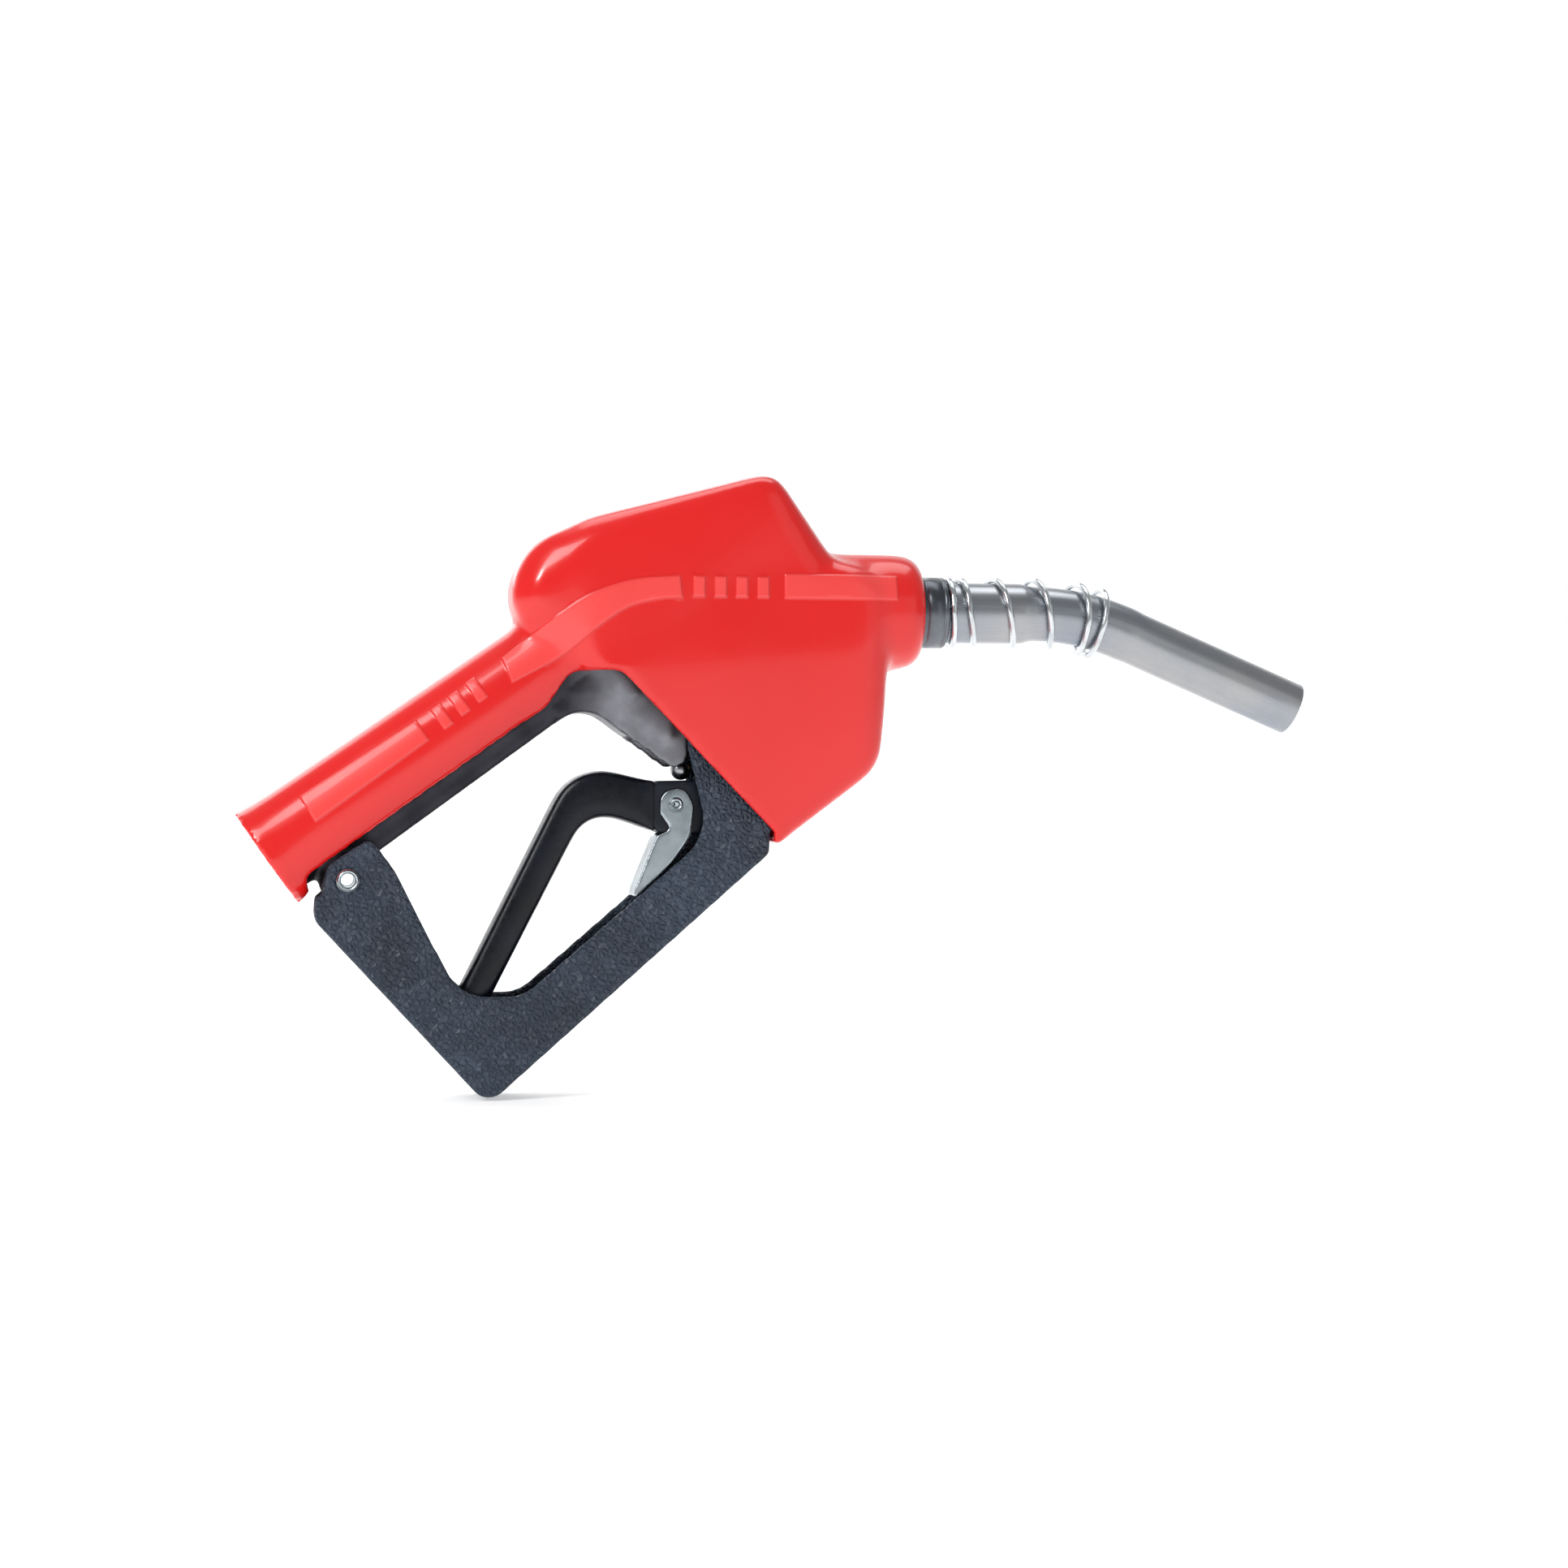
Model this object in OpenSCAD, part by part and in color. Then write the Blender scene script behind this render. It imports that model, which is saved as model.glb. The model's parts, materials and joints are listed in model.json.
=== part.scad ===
// Automatic shut-off fuel nozzle: a cast body with a main valve, a trip
// mechanism and a check valve, in a moulded cover, with a guarded hand lever
// and a bent aluminium spout.
// Frame: +X runs along the nose towards the spout, +Z is up, and the part is
// symmetric about the XZ plane. The origin is the centre of the hose inlet.

/* [Handle] */
// Angle of the handle above the nose's direction, degrees
handle_tilt = 35; // [25:1:40]
// Length of the handle from the inlet to the main valve's axis
handle_len = 148; // [120:1:180]
// Diameter of the cast handle under the cover
handle_d = 32.4; // [31:0.2:38]
// Diameter of the fuel passage in the handle
passage_d = 21; // [16:0.5:22]
// Diameter of the inlet thread, drawn as a plain wall
inlet_d = 24.1; // [20:0.1:28]
// Depth of the inlet thread
inlet_depth = 20; // [14:1:30]
// Half width of the rib along the handle's underside
keel_half_w = 9; // [6:0.5:10]
// Distance from the handle's axis to the rib's edge
keel_drop = 20.4; // [19:0.2:24]

/* [Main valve] */
// Diameter of the poppet's chamber
chamber_d = 23; // [20:0.5:26]
// Wall around the poppet's chamber
chamber_wall = 4; // [3:0.5:6]
// Diameter of the hole in the valve seat
seat_d = 15; // [12:0.5:18]
// Diameter of the poppet
poppet_d = 19; // [17:0.5:20]
// Thickness of the poppet's holder
poppet_t = 6; // [4:0.5:8]
// Thickness of the poppet's sealing disc
disc_t = 2; // [1:0.25:3]
// Diameter of the valve stem
stem_d = 5; // [4:0.25:7]
// Diameter of the ball end that the lever pushes
stem_tip_d = 8; // [6:0.5:9]
// Distance from the handle's axis down to the ball end's centre
stem_drop = 62.2; // [58:0.2:70]

/* [Trip mechanism] */
// Angle that the plunger's axis leans back from vertical, degrees
lean = 16; // [8:1:20]
// Diameter of the trip plunger
plunger_d = 10; // [9:0.5:12]
// Length of the plunger above the lever's pin
plunger_len = 92; // [91:1:96]
// Drop of the plunger when the nozzle trips
trip_drop = 6; // [4:0.5:7]
// Diameter of the latch pin
latch_pin_d = 4.9; // [4:0.1:5.5]
// Diameter of each latch ball
ball_d = 3.7; // [3:0.1:4]
// Diameter of the diaphragm's flange and cap
cap_d = 46; // [42:1:48]
// Diameter of the cap's screws
cap_screw_d = 3; // [2.5:0.25:4]

/* [Lever and guard] */
// Width of the lever's core
lever_w = 16; // [14:0.5:17]
// Thickness of the sleeve on the lever
sleeve_t = 1.2; // [0.8:0.1:1.6]
// Diameter of the lever's pin
pin_d = 5; // [4:0.25:6]
// Width of the gap between the guard's side plates
guard_gap = 24; // [22:0.5:26]
// Thickness of the guard's side plates
guard_t = 3; // [2:0.25:4]
// Thickness of the guard's outer web
web_t = 3; // [2:0.25:4]
// Diameter of the hole for the guard's tubular rivet
rivet_d = 6.8; // [5:0.2:8]
// Diameter of the guard's front screws
guard_screw_d = 5; // [4:0.5:6]
// Diameter of the rivet that carries the hold-open clip
clip_rivet_d = 4; // [3:0.25:5]
// Thickness of the clip's sheet
clip_t = 1.2; // [0.8:0.1:1.5]
// Number of steps on the hold-open rack
rack_steps = 3; // [2:1:4]

/* [Nose and spout] */
// Diameter of the bore through the nose
nose_bore_d = 26; // [24:0.5:28]
// Wall of the nose around its bore
nose_wall = 4; // [3:0.5:6]
// Diameter of the spout's straight end
spout_d = 20.6; // [18:0.1:22]
// Diameter of the spout's base
spout_base_d = 23.4; // [23:0.1:25]
// Diameter of the spout's bore
spout_bore_d = 18.2; // [15:0.1:19]
// Length of the spout's straight end
spout_end_len = 75; // [64:1:90]
// Angle of the spout's bend, degrees
spout_bend = 23; // [15:1:40]
// Radius of the spout's bend, along its middle
spout_bend_r = 97; // [60:1:140]
// Length of the spout nut that shows in front of the nose
nut_len = 14; // [8:1:20]
// Wall of the spout nut around the spout
nut_wall = 2.1; // [1.5:0.1:3]
// Diameter of the anchor spring's wire
wire_d = 2.4; // [1.4:0.1:2.6]

/* [Cover] */
// Thickness of the moulded cover
cover_t = 2.9; // [2:0.1:3.2]
// Half width of the cover at the main valve
cover_half_w = 27; // [26:0.5:32]
// Length of the cover's nose in front of the plunger's axis
nose_len = 81; // [76:1:100]

/* [Hidden] */

$fn = 64;
hull_fn = 32;
run_gap = 0.05;      // radial clearance of a running fit
air = 0.3;           // clearance between pieces that pass each other
over = 1;            // how far a cut runs past a face

// Points on the part's own axes, as [x, z]
function on_handle(s, t) =
    [s * cos(handle_tilt) - t * sin(handle_tilt), s * sin(handle_tilt) + t * cos(handle_tilt)];
function on_body(x, z) = on_handle(handle_len, 0) + [x, z];
fulcrum = on_body(69.2, -61.9);
function on_trip(w, q) =
    fulcrum + w * [-sin(lean), cos(lean)] + q * [cos(lean), sin(lean)];

module at_point(p) { translate([p[0], 0, p[1]]) children(); }
module along_handle(s) { at_point(on_handle(s, 0)) rotate([0, 90 - handle_tilt, 0]) children(); }
module along_valve(t) { at_point(on_handle(handle_len, t)) rotate([0, -handle_tilt, 0]) children(); }
module along_trip(w) { at_point(on_trip(w, 0)) rotate([0, -lean, 0]) children(); }
module along_nose(x) { translate([x, 0, nose_z]) rotate([0, 90, 0]) children(); }
module across(p) { at_point(p) rotate([90, 0, 0]) children(); }
module slab(points, width) {
    rotate([90, 0, 0]) linear_extrude(width, center = true) polygon(points);
}
module both_sides() { children(); mirror([0, 1, 0]) children(); }

// Outlines: a list of [[x, z], radius] becomes a polygon with rounded corners
function unit(v) = v / norm(v);
function turn(a) = a > 180 ? a - 360 : a < -180 ? a + 360 : a;
function corner(a, b, c, r) =
    let (u = unit(a - b), v = unit(c - b), half = acos(u * v) / 2, d = r / tan(half),
         m = b + unit(u + v) * r / sin(half),
         p = b + u * d - m, q = b + v * d - m,
         start = atan2(p[1], p[0]), sweep = turn(atan2(q[1], q[0]) - start),
         steps = max(2, ceil(abs(sweep) / 9)))
    r == 0 ? [b] : [for (i = [0:steps]) m + r * [cos(start + sweep * i / steps),
                                                 sin(start + sweep * i / steps)]];
function rounded(points) =
    let (n = len(points))
    [for (i = [0:n - 1], p = corner(points[(i + n - 1) % n][0], points[i][0],
                                    points[(i + 1) % n][0], points[i][1])) p];

// Moves every side of an outline inwards by d, and keeps its corners in step
function area_sign(points) =
    let (n = len(points))
    [for (i = [0:n - 1]) cross(points[i][0], points[(i + 1) % n][0])]
        * [for (i = [0:n - 1]) 1] > 0 ? 1 : -1;
function shrunk(points, d) =
    let (n = len(points), way = area_sign(points))
    [for (i = [0:n - 1])
        let (a = points[(i + n - 1) % n][0], b = points[i][0], c = points[(i + 1) % n][0],
             u = unit(a - b), v = unit(c - b), half = acos(u * v) / 2,
             side = cross(b - a, c - b) * way > 0 ? 1 : -1)
        [b + side * unit(u + v) * d / sin(half),
         points[i][1] == 0 ? 0 : max(0.1, points[i][1] - side * d)]];

// A round wire or tube swept along 3-D points, with one ring at each point
function tangent(path, i) =
    unit(path[min(i + 1, len(path) - 1)] - path[max(i - 1, 0)]);
function ring(c, t, r, sides) =
    let (side = unit(cross(t, abs(t[1]) < 0.9 ? [0, 1, 0] : [0, 0, 1])), up = cross(side, t))
    [for (k = [0:sides - 1]) c + r * (side * cos(360 * k / sides) + up * sin(360 * k / sides))];
module sweep(path, r, sides) {
    rings = len(path);
    points = [for (i = [0:rings - 1], p = ring(path[i], tangent(path, i), r, sides)) p];
    walls = [for (i = [0:rings - 2], k = [0:sides - 1])
        let (a = i * sides + k, b = i * sides + (k + 1) % sides)
        each [[a, b, b + sides], [a, b + sides, a + sides]]];
    start_cap = [for (k = [0:sides - 1]) sides - 1 - k];
    end_cap = [for (k = [0:sides - 1]) (rings - 1) * sides + k];
    polyhedron(points, concat(walls, [start_cap, end_cap]));
}
// A coil spring along +Z, with its wire's middle from bottom to top
module coil(r, wire_r, bottom, top, turns, steps = 14) {
    n = round(turns * steps);
    sweep([for (i = [0:n]) [r * cos(360 * i / steps), r * sin(360 * i / steps),
                            bottom + wire_r + (top - bottom - 2 * wire_r) * i / n]],
          wire_r, 6);
}

// Main valve heights, along its axis from the handle's axis
seat_t = -11.5;                       // top face of the seat
seat_under = seat_t - 4;              // underside of the seat
sump_t = -26;                         // floor of the chamber under the seat
barrel_low = -29;
barrel_high = 22;
boss_low = -40;
gland_top = -31;
packing_low = gland_top - 3;
nut_low = boss_low - 3;
plug_low = 15;                        // underside of the cap's plug
barrel_r = chamber_d / 2 + chamber_wall;
gland_r = stem_d / 2 + 2.6;
boss_r = gland_r + 2.6;

// Trip mechanism heights, along its axis from the lever's pin
guide_low = 18;
guide_high = 22;
collar_low = 32;
collar_high = 34;
spring_pocket_top = 36;
trip_boss_r = plunger_d / 2 + 6;
pocket_r = plunger_d / 2 + 3.2;
barrel2_low = 38;
cavity_low = 46;
cavity_high = 95;
flange_low = 98;
flange_high = 104;
diaphragm_t = 1.2;
cap_low = flange_high + diaphragm_t;
cap_top = flange_high + 13;
cap_room_top = cap_top - 3;
barrel2_r = 19;
cavity_r = 15;
sleeve_r = plunger_d / 2 + 3;
latch_bore_r = latch_pin_d / 2 + run_gap;
ball_w = 84;                          // height of the balls
ball_out = plunger_d / 2 - 0.5;       // distance of a ball's middle from the axis
ball_in_travel = 1.3;
ball_seat_r = ball_out + ball_d / 2 + 0.15;
ball_seat_w = ball_w - 2;              // where the balls' cone stops widening
neck_r = latch_pin_d / 2 - ball_in_travel - 0.15;

// Nose and spout
nose_z = on_body(0, 10.5)[1];
trip_x = on_trip(75, 0)[0];
nose_face = trip_x + nose_len;
casting_face = nose_face - 4;
insert_r = inlet_d / 2 + 2;
nose_r = nose_bore_d / 2 + nose_wall;
nut_r = spout_base_d / 2 + nut_wall;
nut_end = nose_face + nut_len - 4;
spout_seat = nut_end - 20;
spigot_start = spout_seat - 6;
spout_base_end = nose_face + 46;
cone_len = 6;
spout_mid_d = spout_d + 0.6;
bend_centre = [spout_base_end, nose_z - spout_bend_r];
bend_end = bend_centre + spout_bend_r * [sin(spout_bend), cos(spout_bend)];
spout_dir = [cos(spout_bend), -sin(spout_bend)];
vent_r = 2.5;
vent_drop = spout_bore_d / 2 - vent_r - 0.2;
check_x = nose_face - 38;
check_t = 6;
check_rod_r = 2;
nut_hole_r = spout_bore_d / 2 - 4;
vent_hole_back = 14;

module body_casting() color("dimgray") difference() {
    union() {
        along_handle(0) cylinder(d = handle_d, h = handle_len);
        slab([on_handle(26, -handle_d / 3), on_handle(handle_len - 20, -handle_d / 3),
              on_handle(handle_len - 23, -keel_drop + 0.9), on_handle(32, -keel_drop - 0.9)],
             2 * keel_half_w);
        across(rivet_at) cylinder(r = rivet_d / 2 + 6.1, h = lug_w, center = true);
        across(rivet_at + [-7.6, -2.2]) cylinder(r = 3, h = lug_w, center = true);
        slab([rivet_at + [-6, 0], rivet_at + [8, 0], on_handle(30, -8), on_handle(12, -8)], 14);
        along_valve(barrel_low) cylinder(r = barrel_r, h = barrel_high - barrel_low);
        along_valve(boss_low) cylinder(r = boss_r, h = barrel_low - boss_low + over);
        slab(rounded(arc_web), 22.4);
        slab(rounded(arc_rim), 26.4);
        slab([on_handle(handle_len - 10, 14), on_trip(100, -16), on_trip(60, -10),
              on_handle(handle_len, -24)], 26);
        along_trip(guide_low) cylinder(r = trip_boss_r, h = barrel2_low - guide_low + over);
        along_trip(barrel2_low) cylinder(r = barrel2_r, h = flange_low - barrel2_low + over);
        along_trip(flange_low) cylinder(d = cap_d, h = flange_high - flange_low);
        along_nose(trip_x) cylinder(r = nose_r, h = casting_face - trip_x);
        slab(rounded(screw_lug), lug_w - 0.5);
    }
    along_handle(-over) cylinder(r = insert_r + run_gap, h = inlet_depth + over);
    along_handle(inlet_depth - over) cylinder(d = passage_d, h = handle_len - inlet_depth);
    along_valve(seat_t) cylinder(d = chamber_d, h = barrel_high - seat_t + over);
    along_valve(seat_under - over) cylinder(d = seat_d, h = seat_t - seat_under + 2 * over);
    along_valve(sump_t) cylinder(d = chamber_d - 2, h = seat_under - sump_t);
    along_valve(gland_top - over) cylinder(r = stem_d / 2 + run_gap, h = sump_t - gland_top + 2 * over);
    along_valve(boss_low - over) cylinder(r = gland_r, h = gland_top - boss_low + over);
    at_point(on_handle(handle_len, -20)) rotate([0, 62, 0]) cylinder(r = 8, h = 48);
    along_trip(cavity_low) difference() {
        cylinder(r = cavity_r, h = cavity_high - cavity_low);
        translate([0, 0, -over]) cylinder(r = sleeve_r, h = cavity_high - cavity_low + 2 * over);
    }
    along_nose(trip_x + sleeve_r) cylinder(d = nose_bore_d, h = nose_len);
    along_trip(guide_low - over) cylinder(r = pocket_r, h = spring_pocket_top - guide_low + over);
    along_trip(spring_pocket_top - over)
        cylinder(r = plunger_d / 2 + run_gap, h = flange_high - spring_pocket_top + 2 * over);
    along_trip(ball_seat_w - trip_drop)
        cylinder(r1 = plunger_d / 2 + run_gap, r2 = ball_seat_r, h = trip_drop + 0.01);
    along_trip(ball_seat_w) cylinder(r = ball_seat_r, h = flange_high - ball_seat_w + over);
    along_trip(0) cap_screw_places() translate([0, 0, flange_low - 6])
        cylinder(r = cap_screw_d / 2 + run_gap, h = 20);
    slab([on_handle(handle_len - 18, boss_low), on_handle(handle_len + 30, boss_low),
          on_handle(handle_len + 30, -90), on_handle(handle_len - 18, -90)],
         lever_w + 2 * sleeve_t + 2 * air + 0.2);
    across(rivet_at) cylinder(d = rivet_d, h = 60, center = true);
    across(screw_at) cylinder(d = guard_screw_d, h = 60, center = true);
}

// Thread insert of the hose inlet
module inlet_insert() color("gold") difference() {
    along_handle(0) cylinder(r = insert_r, h = inlet_depth);
    along_handle(-over) cylinder(d = inlet_d, h = inlet_depth + 2 * over);
}

// Outlines tied to the handle, the body and the fulcrum
rivet_at = on_handle(20, -23.3);
screw_at = on_body(92, -41);
lug_w = guard_gap - 0.4;
arc_web = [
    [on_handle(handle_len - 29, -14), 0], [on_handle(handle_len - 29, -19.8), 0],
    [on_body(-3.2, -26), 13], [on_body(31.4, -51.5), 3], [on_body(36.8, -48.2), 2],
    [on_body(40.5, -22), 0], [on_body(10, -6), 0]
];
arc_rim = [
    [on_handle(handle_len - 20, -13), 0], [on_handle(handle_len - 19, -17), 0],
    [on_body(5, -24), 6], [on_body(30, -42.5), 3],
    [on_body(33, -26), 0], [on_body(10, -6), 0]
];
screw_lug = [
    [on_trip(24, 2), 0], [on_trip(24, 12), 0], [screw_at + [-6, -8], 3], [screw_at + [8, -8], 5],
    [screw_at + [9, 12], 3], [on_trip(60, 12), 0], [on_trip(60, 2), 0]
];

// The cover's outer form, grown or shrunk by d
module pebble(p, r, half_w, edge, d) {
    across(p) {
        cylinder(r = r + d, h = 2 * (half_w - edge + d), center = true, $fn = hull_fn);
        cylinder(r = r - edge + d, h = 2 * (half_w + d), center = true, $fn = hull_fn);
    }
}
module cover_form(d) {
    over_d = d < 0 ? 2 : 0;
    along_handle(-over_d)
        cylinder(r1 = handle_d / 2 + 1.3 + cover_t + d, r2 = handle_d / 2 + 0.3 + cover_t + d,
                 h = handle_len + over_d);
    along_handle(-over_d) cylinder(r1 = handle_d / 2 + 1.9 + cover_t + d,
                                   r2 = handle_d / 2 + 1.2 + cover_t + d, h = 16 + over_d);
    hull() {
        pebble(on_handle(handle_len - 0.5, 19), 19.3, cover_half_w - 4, 8, d);
        pebble(on_body(5.3, 26.9), 19, shoulder_half_w, 8, d);
        pebble(on_trip(cap_top + 3.2 - 8.8, cap_d / 2 + 5), 8.8, shoulder_half_w, 4.5, d);
        pebble(on_body(84, 19), 14, cover_half_w - 4, 8, d);
        pebble(on_body(12, 2), 18, cover_half_w - 1, 8, d);
    }
    hull() {
        pebble(on_body(9.8, -0.9), 18.5, cover_half_w - 1, 6, d);
        pebble(on_body(95, 9), 20, cover_half_w - 2, 6, d);
        pebble(on_body(94.3, -22.9), 19.5, cover_half_w - 5, 6, d);
        pebble(on_body(95.3, -40.9), 17, guard_half_w + cover_t + 1.4, 3, d);
        pebble(on_body(69.3, -71.4), 8, guard_half_w + cover_t + 1.4, 2, d);
    }
    along_nose(trip_x) rotate_extrude()
        polygon(rounded([[[0, 0], 0], [[nose_r + 5.7 + d, 0], 0],
                         [[nose_r + 5.7 + d, nose_len + d], 9 + d], [[0, nose_len + d], 0]]));
}
guard_half_w = guard_gap / 2 + guard_t;
shoulder_half_w = max(cover_half_w, cap_d / 2 + cover_t + 1);

cover_cut = [
    [on_handle(-30, -23.5), 0], [on_handle(-3, -20.9), 0], [on_handle(6, -18.8), 0],
    [on_handle(8.2, -13.4), 2], [on_handle(handle_len - 30, -12.6), 4],
    [on_body(-8.4, -13.9), 8], [on_body(9.7, -13.4), 9],
    [on_body(69.5, -75.2), 0], [on_body(60, -160), 0], [on_body(-180, -160), 0]
];
module scuff_cover() color("crimson") difference() {
    cover_form(0);
    cover_form(-cover_t);
    slab(rounded(cover_cut), 120);
    along_nose(trip_x) cylinder(r = nut_r + 0.5, h = nose_len + 10);
}

// Guard: outer and inner outlines share the ear and the front arm
ear = rivet_at;
heel = on_body(-39.5, -177.6);
ear_low = ear + [-12.8, -14.6];
sill = on_body(68.2, -83.1);
guard_outer = [
    [heel, 7], [ear_low, 7], [ear + [-12.6, -6.4], 1.5], [ear + [-9.6, -5], 1],
    [ear + [-7.6, 6.0], 3], [ear + [8.4, 16.2], 4], [ear + [18.0, 3.0], 30],
    [on_body(-60.6, -115.4), 30], [on_body(-49.6, -136.2), 16], [on_body(-26, -136.4), 14],
    [on_body(42.6, -77.6), 18], [on_body(42.0, -66.0), 20], [on_body(34.6, -36), 6],
    [on_body(102.5, -27), 8], [on_body(102.5, -50.5), 9], [on_body(68.8, -74.0), 1],
    [sill, 1.5]
];
web_inner = [
    [heel + web_t * [0.03, 1.37], 5], [ear_low + web_t * [1.37, 0.37], 5],
    [ear_low + [1.37 * web_t, 4], 0], [on_body(-60, -66), 0], [on_body(69 - web_t, -66), 0],
    [sill + web_t * [-0.73, -0.07], 0]
];
module lever_guard() color("darkslategray") difference() {
    slab(rounded(guard_outer), 2 * guard_half_w);
    slab(rounded(web_inner), guard_gap);
    slab([ear_low + [-20, 3.9], ear + [-30, 40], ear + [60, 40], ear_low + [70, 3.9]], guard_gap);
    slab([sill + [-0.73 * web_t - 0.1, -1], on_body(0, -66.1), on_body(0, -20),
          on_body(140, -20), on_body(140, -84)], guard_gap);
    across(rivet_at) cylinder(d = rivet_d, h = 60, center = true);
    across(screw_at) cylinder(d = guard_screw_d, h = 60, center = true);
    both_sides() across(screw_at) translate([0, 0, guard_half_w - 1.8])
        cylinder(d = guard_screw_d + 4, h = 5);
}
module guard_rivet() color("silver") across(rivet_at) difference() {
    union() {
        cylinder(d = rivet_d - 2 * run_gap, h = 2 * guard_half_w, center = true);
        for (side = [-1, 1]) translate([0, 0, side * (guard_half_w + 0.7)])
            cylinder(d = rivet_d + 2, h = 1.4, center = true);
    }
    cylinder(d = rivet_d - 1.6, h = 60, center = true);
}
module guard_screws() color("gray") both_sides() across(screw_at) difference() {
    union() {
        translate([0, 0, 3]) cylinder(d = guard_screw_d - 2 * run_gap, h = guard_half_w - 3);
        translate([0, 0, guard_half_w - 1.8]) cylinder(d = guard_screw_d + 3.6, h = 1.7);
    }
    translate([0, 0, guard_half_w - 0.9]) cube([1, 20, 2], center = true);
}

// The rack's steps rise towards the front, inside the guard
rack_at = on_body(32.5, -111.1);
step_w = 4;
step_h = 2;
rack_h = 8.6;
web_slope = 0.85;
module hold_open_rack() color("gray")
    slab(concat([for (i = [0:rack_steps - 1], j = [0, 1])
                     rack_at + [step_w * (i + j), rack_h + step_h * i]],
                [rack_at + [step_w * rack_steps, web_slope * step_w * rack_steps], rack_at]),
         guard_gap - 0.04);

// Lever: an outline about the fulcrum, with a fork round the plunger's end
lever_line = [
    [fulcrum + [-124.2, -83.0], 4], [fulcrum + [-75.6, 13.9], 20],
    [fulcrum + [-46, 6.6], 14], [fulcrum + [6.2, 7.4], 6], [fulcrum + [5.2, -5.6], 5],
    [fulcrum + [-36, -15.6], 25], [fulcrum + [-70, -4.2], 13], [fulcrum + [-113.6, -88.6], 4]
];
sleeve_end = fulcrum[0] - 44.5;
clip_at = fulcrum + [-36.6, -2.4];
fork_gap = plunger_d + 2 * air;
fork_back = plunger_d / 2 + 5.5;
module lever_core() color("midnightblue") difference() {
    union() {
        slab(rounded(shrunk(lever_line, sleeve_t + run_gap)), lever_w);
        intersection() {
            slab(rounded(lever_line), lever_w);
            at_point([sleeve_end, fulcrum[1]]) translate([0, -40, -40]) cube(80);
        }
    }
    across(fulcrum) cylinder(d = pin_d + 2 * run_gap, h = 60, center = true);
    at_point(fulcrum - [fork_back, 0]) translate([0, -fork_gap / 2, -15]) cube([40, fork_gap, 30]);
    across(clip_at) cylinder(d = clip_rivet_d, h = 60, center = true);
    across(clip_at) translate([0, 0, lever_w / 2 - 4]) cylinder(r = clip_rivet_d / 2 + 2.4, h = 5);
}
module lever_sleeve() color("midnightblue") difference() {
    slab(rounded(lever_line), lever_w + 2 * sleeve_t);
    slab(rounded(shrunk(lever_line, sleeve_t)), lever_w + 2 * run_gap);
    at_point([sleeve_end - 0.1, fulcrum[1]]) translate([0, -50, -60]) cube(120);
}
module lever_pin() color("silver") across(fulcrum) {
    cylinder(d = pin_d, h = lever_w + 0.6, center = true);
    for (side = [-1, 1]) translate([0, 0, side * (lever_w / 2 + 0.8)])
        cylinder(d = pin_d + 2, h = 1, center = true);
}

// Clip: two side plates joined by a folded spine along their rear edge
clip_line = [
    [clip_at + [-6, 4.5], 5.5], [clip_at + [3, 7.2], 5], [clip_at + [7.2, 0], 6],
    [clip_at + [5.6, -12.6], 12], [clip_at + [-2, -23.6], 10], [clip_at + [-16.4, -37.2], 1],
    [clip_at + [-15.6, -32], 3], [clip_at + [-7.4, -12.0], 2], [clip_at + [-2.0, -9.4], 1.5],
    [clip_at + [-6.2, -3.4], 2]
];
clip_half_w = lever_w / 2 + air + clip_t;
module hold_open_clip() color("lightsteelblue") difference() {
    slab(rounded(clip_line), 2 * clip_half_w);
    slab(rounded([
        [clip_at + [-14, 14], 0], [clip_at + [-14, -8.6], 0], [clip_at + [-6.4, -9.8], 0],
        [clip_at + [-6.0, -12.8], 1], [clip_at + [-14.0, -31.6], 0], [clip_at + [6, -32], 0],
        [clip_at + [16, 0], 0], [clip_at + [16, 14], 0]
    ]), 2 * (clip_half_w - clip_t));
    across(clip_at) cylinder(d = clip_rivet_d + 2 * run_gap, h = 60, center = true);
}
module clip_rivet() color("silver") across(clip_at) difference() {
    union() {
        cylinder(d = clip_rivet_d - 0.04, h = 2 * clip_half_w + 0.4, center = true);
        for (side = [-1, 1]) translate([0, 0, side * (clip_half_w + 0.65)])
            cylinder(d = clip_rivet_d + 1.4, h = 0.9, center = true);
    }
    for (side = [-1, 1]) translate([0, 0, side * (clip_half_w + 0.6)])
        cylinder(d = clip_rivet_d - 1.8, h = 2, center = true);
}
module clip_spring() color("silver") across(clip_at)
    translate([0, 0, lever_w / 2 - 3.8]) coil(clip_rivet_d / 2 + 1.3, 0.45, 0, 3.4, 3);

// Main valve
module poppet_holder() color("gold") along_valve(seat_t + disc_t) difference() {
    union() {
        cylinder(d = poppet_d, h = poppet_t);
        translate([0, 0, poppet_t]) cylinder(d = stem_d + 4, h = 3);
    }
    translate([0, 0, -over]) cylinder(d = stem_d, h = poppet_t + 3 + 2 * over);
}
module poppet_disc() color("black") along_valve(seat_t + 0.02) difference() {
    cylinder(d = poppet_d, h = disc_t - 0.04);
    translate([0, 0, -over]) cylinder(d = stem_d + 2.4, h = disc_t + 2 * over);
}
module disc_retainer() color("gold") along_valve(seat_t - 1.6) difference() {
    union() {
        cylinder(d = seat_d - 3, h = 1.58);
        cylinder(d = stem_d + 2.2, h = 1.6 + disc_t - 0.02);
    }
    translate([0, 0, -over]) cylinder(d = stem_d, h = disc_t + 4);
}
module valve_stem() color("silver") {
    stem_low = -stem_drop;
    along_valve(stem_low) cylinder(d = stem_d - 0.04, h = seat_t + disc_t + poppet_t + 5 - stem_low);
    along_valve(stem_low) sphere(d = stem_tip_d);
}
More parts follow.
